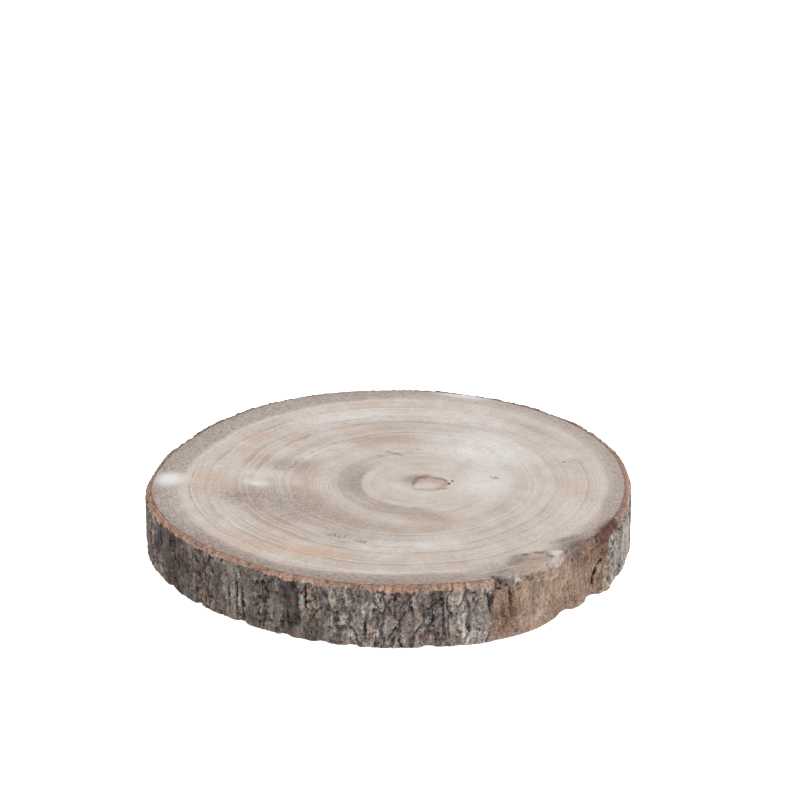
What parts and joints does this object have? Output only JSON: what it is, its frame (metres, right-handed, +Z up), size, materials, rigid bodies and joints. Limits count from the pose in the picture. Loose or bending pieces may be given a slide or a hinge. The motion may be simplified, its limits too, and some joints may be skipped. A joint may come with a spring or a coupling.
{
  "type": "wood slice",
  "caption": "Round slice sawn across a small tree trunk, with growth rings on its flat faces and rough bark left on round its edge.",
  "frame": {"origin": "middle of the underside, at the centre of the slice's bounding box in plan", "axes": "+Z up along the trunk's grain, through the thickness; -Y towards the side seen from the front, whose right-hand end carries the branch collar; +X to the right"},
  "size_m": [0.3038, 0.3038, 0.04],
  "materials": {
    "wood": "dry sawn end grain, pale and slightly greyed, with a red-brown inner bark rim and rough grey-brown bark round the edge, unvarnished"
  },
  "bodies": {
    "root": {"wood_slice": "wood"}
  },
  "joints": []
}
